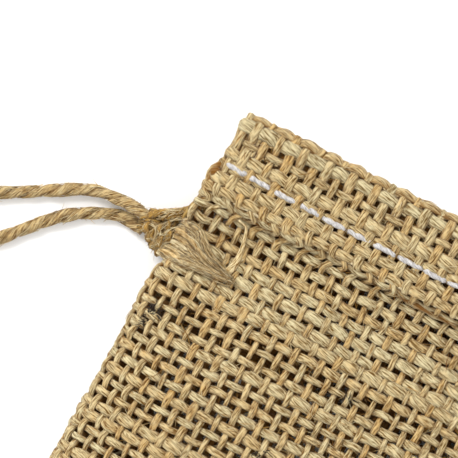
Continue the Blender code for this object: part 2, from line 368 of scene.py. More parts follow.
def lay_coordinates(mesh, lines, outline, stands):
    """What the finishes read: the place along and round a tube, its shade and its rise."""
    sides = len(outline)
    along, shift, shade, rise = [], [], [], []
    for line in lines:
        count = len(line["points"])
        along.append(lengths_along(line["points"]))
        shift.append(np.tile(rng.uniform(0, 200, 3), (count, 1)))
        shade.append(np.full(count, line.get("shade", 0.5)))
        rise.append(line.get("rise", np.full(count, 0.4)))
    along, shift, shade, rise = (np.concatenate(part) for part in (along, shift, shade, rise))
    # painted shade: grooves of the outline and points lying low along the normal get a lower rise, so a
    # darker colour
    rise = (rise[:, None] - GROOVE_SHADE * (1 - np.array(outline))).ravel() + stands
    reach = np.concatenate([line["radius"] for line in lines])
    angle = 2 * math.pi * np.arange(sides) / sides
    straight = np.empty((len(along), sides, 3))
    straight[:, :, 0] = along[:, None]
    straight[:, :, 1] = reach[:, None] * np.cos(angle)
    straight[:, :, 2] = reach[:, None] * np.sin(angle)
    straight += shift[:, None]
    held = mesh.attributes.new("straight", "FLOAT_VECTOR", "POINT")
    held.data.foreach_set("vector", straight.astype(np.float32).ravel())
    for title, values in (("shade", np.repeat(shade, sides)), ("rise", rise)):
        held = mesh.attributes.new(title, "FLOAT", "POINT")
        held.data.foreach_set("value", values.astype(np.float32))


def close_ends(mesh, sides):
    bm = bmesh.new()
    bm.from_mesh(mesh)
    rims = [edge for edge in bm.edges if edge.is_boundary]
    bmesh.ops.holes_fill(bm, edges=rims, sides=sides)
    bmesh.ops.recalc_face_normals(bm, faces=bm.faces)
    bm.to_mesh(mesh)
    bm.free()


def sweep(name, lines, outline, finish, body, uneven=0.0):
    """One closed tube for each line, as one mesh piece, with its outline's radii.

    A line is a dict of points (n, 3) and radius (n) in millimetres. It may hold
    tilt (n), normal (n, 3) with flat, the share of its height that the tube keeps
    along that normal, rise (n), which is negative where painted shade darkens the
    colour, and shade, one number for the whole tube. Uneven is how far, as a share
    of the radius, points stray in and out.
    """
    mesh = swept_mesh(name, lines, outline)
    stands = shape_rings(mesh, lines, len(outline), uneven)
    lay_coordinates(mesh, lines, outline, stands)
    close_ends(mesh, len(outline))
    mesh.shade_smooth()
    mesh.materials.clear()
    mesh.materials.append(finish)
    piece = bpy.data.objects.new(name, mesh)
    bpy.context.scene.collection.objects.link(piece)
    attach(piece, body)
    return piece


def curve_between(a, b, c, d, share):
    """A place between b and c on a smooth curve through all four."""
    bend = 2 * b + (c - a) * share + (2 * a - 5 * b + 4 * c - d) * share**2
    return (bend + (3 * b - a - 3 * c + d) * share**3) / 2


def through(route, spacing):
    """Points about spacing apart on a smooth curve through a route, in millimetres."""
    knots = [np.array(point, dtype=float) for point in route]
    knots = [2 * knots[0] - knots[1], *knots, 2 * knots[-1] - knots[-2]]
    points = []
    for a, b, c, d in zip(knots, knots[1:], knots[2:], knots[3:]):
        steps = max(1, round(float(np.linalg.norm(c - b)) / spacing))
        points += [curve_between(a, b, c, d, step / steps) for step in range(steps)]
    return np.array([*points, knots[-2]])


# ---------------------------------------------------------------- the lie of the cloth


def smooth_rise(start, end, value):
    t = np.clip((value - start) / (end - start), 0.0, 1.0)
    return t * t * (3 - 2 * t)


def mix(a, b, share):
    return a + (b - a) * share


def half_width(y):
    """The pouch narrows a little to its mouth, and its foot's corners are round."""
    width = mix(BODY_HALF_WIDTH, MOUTH_HALF_WIDTH, smooth_rise(5.0, 66.0, y))
    corner = np.clip((PANEL_FOOT + CORNER_HEIGHT - y) / CORNER_HEIGHT, 0.0, 1.0)
    return width - CORNER_WIDTH * (1 - np.sqrt(1 - corner * corner))


def edge_x(y, side):
    """How far out the pouch's edge is at y, on the left (-1) or the right (1)."""
    bulge = BULGE * (1 - smooth_rise(60.2, 61.4, y)) * smooth_rise(26.0, 42.0, y)
    dent = DENT_DEPTH * np.exp(-(((y - DENT_Y) / DENT_SPREAD) ** 2) / 2)
    return half_width(y) + bulge - (dent if side < 0 else 0.0)


def swell(distance, reach):
    """How a filled cloth rises from its edge: steep at first, then level."""
    t = np.clip(distance / reach, 0.0, 1.0)
    return (1 - (1 - t) ** 2.2) ** 0.556


def front_under(x, y, side):
    """Height of the front panel's underside."""
    lift = swell(edge_x(y, side) - x, 24.0) * swell(y - PANEL_FOOT, 26.0)
    low = SEAM_Z + GAP / 2
    top = HEADER_Z - CLOTH
    return mix(mix(low, top, lift), top, smooth_rise(SLIT_START, SLIT_END, y))


def back_over(x, y, side):
    """Height of the back panel's upper face."""
    drop = swell(edge_x(y, side) - x, 14.0) * swell(y - PANEL_FOOT, 16.0)
    high = SEAM_Z - GAP / 2
    return mix(mix(high, CLOTH, drop), CLOTH, smooth_rise(SLIT_START, SLIT_END, y))


def casing_sag(y):
    """How far the hem's inner layer hangs away from the outer one, round the twine."""
    t = np.minimum(np.abs(y - CASING_Y) / CASING_HALF_WIDTH, 1.0)
    return GAP + (TWINE + GAP + 0.1) * np.cos(t * math.pi / 2) ** 2


CREASE_STEP = 1.9  # the body lies this much lower than the doubled header
CREASE_Y = 55.5
RIDGE = 0.42  # the hem's raw edge stands up under the cloth
STITCH_DIP = 0.35
BACK_LIFT = 0.4  # the back's yarns stand on the floor
TURN = 0.45  # how far the cloth's bend at the edge reaches in
SLIT_TURNING = 2.0  # width of the allowance along the slit
TUCK = 0.85  # how far in the slit's allowance lies
TUCK_AT_TWINE = 0.25  # and where the twine comes out past it
FLAP_GAP = 0.45  # between the turned-in hem and the outer layer


def outer_height(x, y, side, panel):
    """Height of the middle of the front (1) or back (-1) panel's cloth."""
    if panel > 0:
        height = front_under(x, y, side) + CLOTH / 2
    else:
        height = back_over(x, y, side) - CLOTH / 2 + BACK_LIFT
    crease = CREASE_Y + 0.3 * np.sin(x / 2.9 + side) + 0.2 * np.sin(x / 1.3)
    uneven_step = CREASE_STEP * (1 + 0.25 * np.sin(x / 4.7))
    step = uneven_step * (1 - smooth_rise(crease - 0.5, crease + 0.3, y))
    ridge = RIDGE * np.exp(-(((y - crease - 1.0) / 0.8) ** 2))
    step = step * smooth_rise(20.0, 50.0, y) * smooth_rise(2.0, 9.0, edge_x(y, side) - x)
    dip = STITCH_DIP * np.exp(-(((y - HEM_STITCH_Y) / 0.9) ** 2))
    return height - (step + dip - ridge if panel > 0 else -dip)


def across_profile(y, side, panel):
    """From the middle of the panel out to its edge, round it and in along the seam."""
    out = edge_x(y, side)
    eased = 1 - (1 - np.linspace(0, 1, 70)) ** 2
    xs = (out - TURN) * eased
    outer = np.stack([xs, outer_height(xs, y, side, panel)], 1)
    open_share = smooth_rise(SLIT_START - 3.0, SLIT_START + 2.0, y)
    length = mix(ALLOWANCE, SLIT_TURNING, open_share)
    inner_xs = np.linspace(out - TURN, out - length, 16)
    between = (front_under(inner_xs, y, side) + back_over(inner_xs, y, side)) / 2
    closed = between + panel * 0.75
    tuck = TUCK - (TUCK - TUCK_AT_TWINE) * np.exp(-(((y - CASING_Y) / 2.0) ** 2))
    opened = outer_height(inner_xs, y, side, panel) - panel * tuck
    inner = np.stack([inner_xs, mix(closed, opened, open_share)], 1)
    z_out, z_in = outer[-1, 1], inner[0, 1]
    bend = [
        (out - 0.12, mix(z_out, z_in, 0.22)),
        (out, mix(z_out, z_in, 0.5)),
        (out - 0.12, mix(z_out, z_in, 0.78)),
    ]
    return np.concatenate([outer, bend, inner])


S_STEP = 0.5  # spacing of a sheet's columns, along the weft
S_REACH = 66.0  # and how far they go to each side
S_SIDE = np.arange(0.0, S_REACH + S_STEP / 2, S_STEP)
T_STEP = 0.4  # spacing of a sheet's rows, along the warp


def laid_row(line, y, askew):
    """A row of the sheet: (x, z) resampled by its length, with y put in.

    Past the turn at the edge the allowance lies askew by so many millimetres.
    """
    step = np.hypot(*np.diff(line, axis=0).T)
    length = np.concatenate([[0.0], np.cumsum(step)])
    xs = np.interp(S_SIDE, length, line[:, 0])
    zs = np.interp(S_SIDE, length, line[:, 1])
    turn = length[int(np.argmax(line[:, 0]))]
    ys = y + askew * smooth_rise(turn, turn + 1.5, S_SIDE)
    return np.stack([xs, ys, zs], 1), length[-1]


def blur(values, axis, times):
    """Softens a grid along one axis, leaving its ends."""
    for _ in range(times):
        moved = np.moveaxis(values, axis, 0)
        inner = (moved[:-2] + 2 * moved[1:-1] + moved[2:]) / 4
        moved = np.concatenate([moved[:1], inner, moved[-1:]])
        values = np.moveaxis(moved, 0, axis)
    return values


def smooth_noise(shape, cells, seed):
    """A smooth random field over shape, with about so many cells each way."""
    source = np.random.default_rng(seed).uniform(-1, 1, (cells[0] + 3, cells[1] + 3))
    rows = np.linspace(0, cells[0], shape[0])
    columns = np.linspace(0, cells[1], shape[1])

    def weights(places):
        base = np.floor(places).astype(int)
        t = places - base
        return base, np.stack(
            [(1 - t) ** 3, 3 * t**3 - 6 * t**2 + 4, -3 * t**3 + 3 * t**2 + 3 * t + 1, t**3]
        ) / 6

    row_base, row_weights = weights(rows)
    column_base, column_weights = weights(columns)
    field = np.zeros(shape)
    for a in range(4):
        for b in range(4):
            row_places = np.minimum(row_base + a, cells[0] + 2)
            column_places = np.minimum(column_base + b, cells[1] + 2)
            picked = source[np.ix_(row_places, column_places)]
            field += row_weights[a][:, None] * column_weights[b][None] * picked
    return field


def lay_sheet(panel):
    """The cloth of one panel as a grid of points, from the hem's raw edge to the foot.

    Rows follow the warp: up the turned-in flap, over the mouth's fold, down the
    panel and into the bottom fold. Columns follow the weft: from the left seam
    allowance's raw edge to the right one's. Returns the grid, the cloth's length
    from its middle to each side at every row, and the y of every row.
    """
    face = HEADER_Z - CLOTH / 2 if panel > 0 else CLOTH / 2 + BACK_LIFT
    flap_rest = face - panel * (CLOTH + FLAP_GAP)
    radius = abs(face - flap_rest) / 2
    fold_y = TOP_Y - radius - 0.1
    rows, reaches, ys = [], [], []

    def add(lines, y):
        halves = [laid_row(line, y, 0.5 * panel) for line in lines]
        left = halves[0][0][:0:-1] * (-1, 1, 1)
        rows.append(np.concatenate([left, halves[1][0]]))
        reaches.append((halves[0][1], halves[1][1]))
        ys.append(y)

    for y in np.arange(FLAP_END - 0.2, fold_y, 0.4):
        sag = max(FLAP_GAP, float(casing_sag(y))) + 0.35 * (1 - smooth_rise(FLAP_END, 62.0, y))
        z = face - panel * (CLOTH + sag)
        level = np.array([(0.0, z), (FLAP_HALF_WIDTH, z)])
        add((level, level), y)
    for angle in np.radians(np.arange(-75, 76, 25)):
        y = fold_y + radius * math.cos(angle)
        z = (face + flap_rest) / 2 + panel * radius * math.sin(angle)
        level = np.array([(0.0, z), (MOUTH_HALF_WIDTH, z)])
        add((level, level), y)
    down = np.concatenate([np.arange(fold_y, 40, -0.5), np.arange(40, PANEL_FOOT + 8, -1.0)])
    down = np.concatenate([down, np.arange(PANEL_FOOT + 7.5, PANEL_FOOT, -0.5), [PANEL_FOOT]])
    for y in down:
        add([across_profile(y, side, panel) for side in (-1, 1)], y)
    last = rows[-1]
    for share, drop in ((0.3, 0.25), (0.7, 0.62), (1.0, 1.0)):
        row = last.copy()
        row[:, 1] = mix(PANEL_FOOT, FOOT_Y + 0.5, share)
        row[:, 2] = mix(last[:, 2], SEAM_Z, drop)
        rows.append(row)
        reaches.append(reaches[-1])
        ys.append(row[0, 1])

    rows, reaches, ys = np.array(rows), np.array(reaches), np.array(ys)
    middle = rows.shape[1] // 2
    length = lengths_along(rows[:, middle])
    even = np.arange(0.0, length[-1], T_STEP)
    flat = rows.reshape(len(rows), -1)
    grid = np.stack([np.interp(even, length, column) for column in flat.T], 1)
    grid = grid.reshape(len(even), -1, 3)
    reaches = np.stack([np.interp(even, length, column) for column in reaches.T], 1)
    return blur(blur(grid, 0, 2), 1, 1), reaches, np.interp(even, length, ys)


def grid_normals(grid, panel):
    """The way out of the pouch at each point of a sheet."""
    down = np.gradient(grid, axis=0)
    across = np.gradient(grid, axis=1)
    normal = np.cross(down, across) * panel
    return normal / np.maximum(np.linalg.norm(normal, axis=2, keepdims=True), 1e-9)


def read_grid(grid, rows, columns):
    """Values of a grid between its points, for arrays of row and column places."""
    rows = np.clip(rows, 0, grid.shape[0] - 1.001)
    columns = np.clip(columns, 0, grid.shape[1] - 1.001)
    r, c = rows.astype(int), columns.astype(int)
    u, v = rows - r, columns - c
    if grid.ndim == 3:
        u, v = u[..., None], v[..., None]
    top = grid[r, c] * (1 - v) + grid[r, c + 1] * v
    foot = grid[r + 1, c] * (1 - v) + grid[r + 1, c + 1] * v
    return top * (1 - u) + foot * u


# ---------------------------------------------------------------- weaving

SAMPLES = 3  # points on a yarn from one crossing to the next

# How a set of yarns lies: how far it rises and falls at the crossings, what share of
# its thickness it keeps, how yarns differ, in all and along each, how warm their
# colour is, and how much wider they lie in the hem.
WARP = {"crimp": 0.36, "flat": 0.72, "vary": (0.12, 0.26, 0.16), "warm": 0.5, "spread": 0.38}
WEFT = {"crimp": 0.30, "flat": 0.52, "vary": (0.24, 0.34, 0.18), "warm": 0.3, "spread": 0.0}


def finer(nodes, per_step):
    """Values at per_step places in each step along the last axis, on smooth curves."""
    ends = 2 * nodes[..., :1] - nodes[..., 1:2], 2 * nodes[..., -1:] - nodes[..., -2:-1]
    padded = np.concatenate([ends[0], nodes, ends[1]], -1)
    a, b, c, d = (padded[..., k : padded.shape[-1] - 3 + k] for k in range(4))
    parts = [curve_between(a, b, c, d, step / per_step) for step in range(per_step)]
    stacked = np.stack(parts, -1).reshape(*nodes.shape[:-1], -1)
    return np.concatenate([stacked, nodes[..., -1:]], -1)


def slubs(count, length, seed, coarse, fine):
    """How thick each yarn is along its length, about 1, with thick and thin places."""
    wide = smooth_noise((count, length), (count * 3, max(4, length // 18)), seed)
    close = smooth_noise((count, length), (count * 3, max(4, length // 5)), seed + 1)
    return 1 + coarse * wide + fine * close


HEM_PICKS = (0.0, 2.3, 4.6, 6.9, 9.2, 11.4, 13.5, 15.7)  # wefts down from the mouth's fold
HEM_WIDTHS = (1.4, 1.42, 0.78, 1.4, 1.0, 1.32, 1.25, 0.95)
SPREAD_ENDS = (15.5, 13.0)  # below the mouth's fold, where the hem's warps narrow again
YARN_LAY = 16.0  # length of one turn of a yarn's twist
THINNEST = 0.2
FOLD_CRIMP = 0.45  # share of its wave that a yarn keeps round a fold


def hem_picks(panel, count, fold):
    """Where each weft lies along the warp, and how thick it is.

    In the hem thick and thin wefts lie by turns and further apart than in the body.
    """
    before = int(fold / PITCH)
    places = fold - PITCH * np.arange(before, 0, -1)
    places = np.concatenate([places, fold + np.array(HEM_PICKS)])
    rest = count - len(places)
    shift = 0.0 if panel > 0 else PITCH / 2
    places = np.concatenate([places, places[-1] + shift + PITCH * np.arange(1, rest + 1)])
    widths = np.ones(count)
    widths[before : before + len(HEM_WIDTHS)] = HEM_WIDTHS
    return places, widths


def rippled(sheet, seed):
    """The sheet's grid with its ripples, and the way out of the pouch at each point.

    They are calmer where the sheet lies flat than where it bends.
    """
    ripple = smooth_noise(sheet.grid.shape[:2], (9, 7), seed) * 0.45
    ripple += smooth_noise(sheet.grid.shape[:2], (26, 20), seed + 1) * 0.22
    normals = grid_normals(sheet.grid, sheet.panel)
    calm = np.clip(1.2 - np.abs(normals[:, :, 2:]) ** 8, 0, 1)
    grid = sheet.grid + normals * ripple[:, :, None] * (1 - 0.6 * calm)
    return grid, blur(blur(grid_normals(grid, sheet.panel), 0, 1), 1, 1)


def crossings(panel, warps, picks, source, seed):
    """Where each warp meets each weft, as lengths along the weft and along the warp."""
    shape = (len(warps), len(picks))
    shift = 0.0 if panel > 0 else 0.5  # the two panels' holes don't line up
    place_s = PITCH * (warps[:, None] + shift) + source.normal(0, 0.10, (len(warps), 1))
    place_s = place_s + smooth_noise(shape, (14, 18), seed + 3) * 0.55
    place_s = place_s + source.normal(0, 0.06, shape)
    place_t = picks[None] + source.normal(0, 0.11, (1, len(picks)))
    place_t = place_t + smooth_noise(shape, (16, 16), seed + 4) * 0.6
    return place_s, place_t + source.normal(0, 0.07, shape)


def weave(sheet, seed):
    """The warp and weft yarns of one panel, as lines for sweep."""
    panel, reaches = sheet.panel, sheet.reaches
    grid, normals = rippled(sheet, seed)
    source = np.random.default_rng(seed + 2)
    half = int(S_REACH / PITCH)
    warps = np.arange(-half, half + 1)
    wefts = np.arange(int((len(grid) - 1) * T_STEP / PITCH))
    fold_t = sheet.fold * T_STEP
    picks, pick_widths = hem_picks(panel, len(wefts), fold_t)
    place_s, place_t = crossings(panel, warps, picks, source, seed)

    def lines(along_s, along_t, phase, widths, base, crimp, flat, vary, warm, spread):
        """Lines of one set of yarns, base thick. Rows of the arrays are yarns."""
        made = []
        thick = slubs(len(along_s), along_s.shape[1], seed + int(base * 100), *vary[1:])
        own = np.clip(source.lognormal(0, vary[0], len(along_s)), 0.62, 1.32)
        own = np.where(widths == 1, own, widths)
        for number in range(len(along_s)):
            s, t = along_s[number], along_t[number]
            reach_left = np.interp(t, np.arange(len(reaches)) * T_STEP, reaches[:, 0])
            reach_right = np.interp(t, np.arange(len(reaches)) * T_STEP, reaches[:, 1])
            held = (s <= reach_right) & (s >= -reach_left)
            starts = np.flatnonzero(np.diff(np.concatenate([[0], held.astype(int), [0]])))
            for first, last in zip(starts[::2], starts[1::2]):
                if last - first < 2 * SAMPLES:
                    continue
                part = slice(first, last)
                rows, columns = t[part] / T_STEP, s[part] / S_STEP + sheet.middle
                normal = read_grid(normals, rows, columns)
                normal /= np.linalg.norm(normal, axis=1, keepdims=True)
                wave = phase[number, part]
                wave = np.sign(wave) * np.abs(wave) ** 0.8
                wave = wave * mix(FOLD_CRIMP, 1.0, smooth_rise(0.2, 0.8, np.abs(normal[:, 2])))
                points = read_grid(grid, rows, columns) + normal * (crimp * wave)[:, None]
                doubled = smooth_rise(fold_t + SPREAD_ENDS[0], fold_t + SPREAD_ENDS[1], t[part])
                radius = base * own[number] * thick[number, part] * (1 + 0.05 * wave)
                radius = radius * (1 + spread * doubled)
                span = np.arange(last - first)
                made.append(
                    {
                        "points": points,
                        "radius": np.maximum(radius, THINNEST),
                        "tilt": 2 * math.pi * span / SAMPLES * PITCH / YARN_LAY,
                        "normal": normal,
                        "flat": flat,
                        "shade": warm + source.uniform(-0.2, 0.2),
                        # painted shade: where the yarn dives under a crossing yarn its rise is low and
                        # its colour darker
                        "rise": crimp * wave,
                    }
                )
        return made

    index = np.arange((len(wefts) - 1) * SAMPLES + 1) / SAMPLES
    warp_phase = np.cos(math.pi * index)[None] * np.where(warps % 2 == 0, 1, -1)[:, None]
    warp_lines = lines(
        finer(place_s, SAMPLES),
        finer(place_t, SAMPLES),
        warp_phase,
        np.ones(len(warps)),
        0.5 if panel > 0 else 0.56,
        **WARP,
    )
    index = np.arange((len(warps) - 1) * SAMPLES + 1) / SAMPLES - half
    weft_phase = -np.cos(math.pi * index)[None] * np.where(wefts % 2 == 0, 1, -1)[:, None]
    weft_lines = lines(
        finer(place_s.T, SAMPLES),
        finer(place_t.T, SAMPLES),
        weft_phase,
        pick_widths,
        0.72 if panel > 0 else 0.76,
        **WEFT,
    )
    return warp_lines, weft_lines


def make_cloth(sheets):
    """The woven yarns of both panels, and the fibres that lie loose along them."""
    outlines = {  # a loosely spun yarn isn't round
        "front": (1.0, 0.86, 1.05, 0.9, 0.98, 0.84, 1.04, 0.92),
        "back": (1.0, 0.88, 1.05, 0.9, 0.98, 0.92),
    }
    fibre_counts = {"front": 8200, "back": 2400}
    yarn = jute_fibre("spun_jute_yarn", "#D2C49A", "#664A14", "#F2CF9A", "#784A06", strand=0.21)
    lying = jute_fibre("lying_jute_fibre", "#DCCDA6", "#8A6A30", "#F4CC90", "#6E4408", strand=0.3)
    pieces = {}
    for side, sheet in sheets.items():
        warp_lines, weft_lines = weave(sheet, 100 + sheet.panel)
        outline = outlines[side]
        pieces[side] = (
            sweep(f"{side}_warps", warp_lines, outline, yarn, "pouch", uneven=0.06),
            sweep(f"{side}_wefts", weft_lines, outline, yarn, "pouch", uneven=0.06),
        )
        yarns = warp_lines + weft_lines
        lines = lying_fibres(yarns, fibre_counts[side], 0.05, 300 + sheet.panel)
        piece = sweep(f"{side}_lying_fibres", lines, FIBRE, lying, "pouch")
    return pieces


LYING_TAPER = np.array([0.5, 1.0, 1.0, 0.5])


def lying_fibres(lines, count, thick, seed):
    """Fibres that have come up out of yarns and lie along them, crossing at a slant."""
    source = np.random.default_rng(seed)
    sizes = np.array([len(line["points"]) for line in lines], dtype=float)
    steps = len(LYING_TAPER)
    made = []
    for number in source.choice(len(lines), count, p=sizes / sizes.sum()):
        line = lines[number]
        last = len(line["points"]) - 1
        span = min(source.uniform(1.6, 5.0), last)
        start = source.uniform(0, last - span)
        places = np.linspace(start, start + span, steps)
        index = np.minimum(places.astype(int), last - 1)
        share = (places - index)[:, None]
        points = mix(line["points"][index], line["points"][index + 1], share)
        normal = mix(line["normal"][index], line["normal"][index + 1], share)
        radius = mix(line["radius"][index], line["radius"][index + 1], share[:, 0])
        ahead = line["points"][index + 1] - line["points"][index]
        side = np.cross(ahead / np.linalg.norm(ahead, axis=1, keepdims=True), normal)
        middle = source.uniform(-1.25, 1.25)
        angle = middle + np.linspace(-0.5, 0.5, steps) * source.normal(0, 0.9)
        height = line["flat"] * np.cos(angle) * radius + 0.02 + abs(source.normal(0, 0.04))
        points = points + normal * height[:, None] + side * (radius * np.sin(angle))[:, None]
        width = thick * source.uniform(0.5, 1.35)
        made.append(
            {
                "points": points,
                "radius": width * LYING_TAPER,
                "shade": 0.4 + source.uniform(-0.45, 0.5),
                "rise": np.full(steps, source.choice((0.5, 0.35, -0.15), p=(0.55, 0.25, 0.2))),
            }
        )
    return made


# ---------------------------------------------------------------- places on the laid cloth


class Cloth:
    """The laid sheet of one panel, to place stitches and loose fibres on."""

    def __init__(self, panel):
        self.panel = panel
        self.grid, self.reaches, self.ys = lay_sheet(panel)
        self.fold = int(np.argmax(self.ys))
        self.middle = self.grid.shape[1] // 2

    def rows(self, y):
        """Row places of the panel's outer face at y."""
        below = -self.ys[self.fold :]
        return self.fold + np.interp(-np.asarray(y), below, np.arange(len(below)))

    def at(self, x, y, above):
        """Points above the cloth at x and y, where x is measured along the cloth."""
        rows = self.rows(y)
        points = read_grid(self.grid, rows, np.asarray(x) / S_STEP + self.middle)
        return points + np.stack([0 * rows, 0 * rows, self.panel * above + 0 * rows], -1)


# ---------------------------------------------------------------- sewing threads

STITCH_PITCH = 4.4
STITCH_THREAD = 0.5  # half the thickness of the white thread as it lies
CASING_PITCH = 3.2
CASING_THREAD = 0.26
CASING_SEAM_RISE = 0.7  # above the hem's raw edge
CASING_SEAM_REACH = 43.0
STITCH_POINTS = 12
NEEDLE_SHARE = 0.13  # of a stitch, where the thread comes up out of the needle hole
THREAD_LAY = 3.4  # length of one turn of a thread's plies
SIDE_SEAM_INSET = 9.0
SIDE_SEAM_PITCH = 3.0
SIDE_SEAM_STEP = 0.35


def seam_slant(x):
    """How far the white seam strays from its line near the left edge."""
    return 0.85 * np.exp(-(x + MOUTH_HALF_WIDTH) / 12.0)


def stitch_row(cloth, y, half_length, pitch, thread, over, under, slanted=False):
    """A row of machine stitches: the thread lies over the cloth and dives into each hole."""
    source = np.random.default_rng(int(abs(y) * 10) + cloth.panel)
    count = int(2 * half_length / pitch)
    holes = -half_length + pitch * np.arange(count + 1) + source.normal(0, 0.12, count + 1)
    xs, ys, rises, radii = [], [], [], []
    for start, end in zip(holes, holes[1:]):
        sway = source.normal(0, 0.10)
        lift = over + source.normal(0, 0.06)
        for share in np.arange(0, 1, 1 / STITCH_POINTS):
            arc = min(1.0, math.sin(math.pi * share) / math.sin(math.pi * NEEDLE_SHARE))
            xs.append(mix(start, end, share))
            ys.append(y + sway * math.sin(math.pi * share))
            rises.append(mix(under, lift, arc**1.3))
            radii.append(thread * mix(0.6, 1.0, min(1.0, arc**0.7)) * source.uniform(0.86, 1.12))
    xs, ys = np.array(xs), np.array(ys)
    ys = ys + (seam_slant(xs) if slanted else 0.0)
    return {
        "points": cloth.at(xs, ys, np.array(rises)),
        "radius": np.array(radii),
        "tilt": np.arange(len(xs)) * pitch / STITCH_POINTS * 2 * math.pi / THREAD_LAY,
        "shade": 0.5,
    }


def sewing_thread(name, pale, shadow):
    """Spun sewing thread: plies twisted hard, with a soft silky sheen.

    Its fibres are drawn some 0.17 mm apart, coarser than they are, so that they show.
    """
    made, tree, shader = new_material(name)
    place = add_node(tree, "ShaderNodeAttribute", attribute_name="straight")
    fine = add_node(
        tree,
        "ShaderNodeMapping",
        {"Vector": place.outputs["Vector"], "Scale": (1.6, 6.0, 6.0)},
    )
    fibres = add_node(
        tree, "ShaderNodeTexNoise", {"Vector": fine.outputs["Vector"], "Scale": 1.0, "Detail": 2.0}
    )
    ramp = add_node(tree, "ShaderNodeValToRGB", {"Fac": fibres.outputs["Fac"]})
    for stop, position, colour in zip(ramp.color_ramp.elements, (0.32, 0.58), (shadow, pale)):
        stop.position = position
        stop.color = linear(colour)
    raised = add_node(
        tree,
        "ShaderNodeBump",
        {"Height": fibres.outputs["Fac"], "Strength": 0.8, "Distance": 0.0002},
    )
    tree.links.new(ramp.outputs["Color"], shader.inputs["Base Color"])
    tree.links.new(raised.outputs["Normal"], shader.inputs["Normal"])
    shader.inputs["Roughness"].default_value = 0.6
    shader.inputs["Sheen Weight"].default_value = 0.1
    return made


def make_threads(sheets):
    """The white hem seams, the natural casing seams and the overlocked side seams."""
    two_ply = (1.0, 0.9, 0.68, 0.9, 1.0, 0.9, 0.68, 0.9)
    white = sewing_thread("white_polyester_thread", "#D2CFCC", "#8C8684")
    natural = sewing_thread("natural_cotton_thread", "#CDBB93", "#93805A")
    made = {}
    for side, cloth in sheets.items():
        row = stitch_row(
            cloth,
            HEM_STITCH_Y,
            MOUTH_HALF_WIDTH - 0.3,
            STITCH_PITCH,
            STITCH_THREAD,
            over=0.58,
            under=-0.4,
            slanted=True,
        )
        made[f"{side}_hem_stitch"] = sweep(f"{side}_white_seam", [row], two_ply, white, "pouch")
        row = stitch_row(
            cloth,
            FLAP_END + CASING_SEAM_RISE,
            CASING_SEAM_REACH,
            CASING_PITCH,
            CASING_THREAD,
            over=0.1,
            under=-0.9,
        )
        made[f"{side}_casing_stitch"] = sweep(
            f"{side}_casing_seam", [row], two_ply, natural, "pouch"
        )
    for side, name in ((-1, "left"), (1, "right")):
        ys = np.arange(-60.0, 36.0, SIDE_SEAM_STEP)
        place = np.arange(len(ys)) * SIDE_SEAM_STEP / SIDE_SEAM_PITCH * 2 * math.pi
        edge = edge_x(ys, side) - SIDE_SEAM_INSET + 0.35 * np.sin(place * 2)
        height = (front_under(edge, ys, side) + back_over(edge, ys, side)) / 2
        points = np.stack([side * edge, ys, height + 0.9 * np.cos(place)], 1)
        row = {"points": points, "radius": np.full(len(ys), 0.3), "shade": 0.5}
        made[f"{name}_seam_thread"] = sweep(f"{name}_side_seam", [row], two_ply, natural, "pouch")
    for node, piece in made.items():
        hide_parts(node)
    return made


# ---------------------------------------------------------------- twine

LAY = 7.0  # length of one turn of the two plies
FRONT_EXIT = [
    (-44.0, 58.3, 11.7),
    (-44.9, 58.2, 11.6),
    (-46.2, 57.3, 10.7),
    (-46.9, 55.8, 9.4),
    (-47.3, 53.9, 7.9),
    (-48.1, 52.2, 6.7),
    (-49.0, 50.9, 6.1),
]
BACK_EXIT = [
    (-44.0, 58.3, 2.3),
    (-44.9, 58.2, 2.3),
    (-46.0, 57.2, 2.4),
    (-46.5, 55.6, 2.7),
    (-46.9, 53.6, 3.2),
    (-47.4, 51.7, 3.8),
    (-47.9, 50.7, 4.0),
]


def twine_line(route, radius=TWINE / 2, spacing=0.45, shade=0.5, wander=0.0, start=0.0):
    """A length of two-ply twine along a route."""
    points = through(route, spacing)
    along = start + lengths_along(points)
    width = radius * (1 + 0.05 * np.sin(along / 1.9) + 0.04 * np.sin(along / 0.83 + 1))
    sway = np.stack([np.sin(along / 2.3), np.cos(along / 1.7), np.zeros_like(along)], 1)
    points = points + wander * sway
    return {"points": points, "radius": width, "tilt": -2 * math.pi * along / LAY, "shade": shade}


def two_ply_outline(sides, depth):
    """The outline of two plies laid together: round, with two narrow grooves."""
    angles = 2 * math.pi * np.arange(sides) / sides
    groove = np.exp(-((np.abs(np.cos(angles)) / 0.34) ** 2))
    return tuple(1 + 0.06 * np.cos(2 * angles) - depth * groove)


HAIR_RADII = np.array([1, 1, 0.9, 0.75, 0.35])
HAIR_FLOOR = 0.06
TWINE_HAIR = 0.055
LAID_SPAN = (5, 9)  # how many points of the twine a laid hair passes


def hairs(starts, directions, lengths, radius, curl, seed, shade):
    """Fine loose fibres: each starts somewhere and wanders off."""
    source = np.random.default_rng(seed)
    made = []
    for start, direction, length in zip(starts, directions, lengths):
        count = len(HAIR_RADII)
        turn = source.normal(0, curl, 3)
        heading = np.array(direction, dtype=float)
        points = [np.array(start, dtype=float)]
        for _ in range(count - 1):
            heading = heading + turn * 0.35 + source.normal(0, curl * 0.35, 3)
            heading = heading / np.linalg.norm(heading)
            points.append(points[-1] + heading * length / (count - 1))
        points = np.array(points)
        points[:, 2] = np.maximum(points[:, 2], HAIR_FLOOR)
        thin = radius * source.uniform(0.6, 1.3)
        made.append(
            {
                "points": points,
                "radius": thin * HAIR_RADII,
                "shade": shade + source.uniform(-0.3, 0.3),
            }
        )
    return made


def headings(points):
    """The way a line runs at each of its points."""
    tangents = np.gradient(points, axis=0)
    return tangents / np.linalg.norm(tangents, axis=1, keepdims=True)


def total_length(points):
    return np.linalg.norm(np.diff(points, axis=0), axis=1).sum()


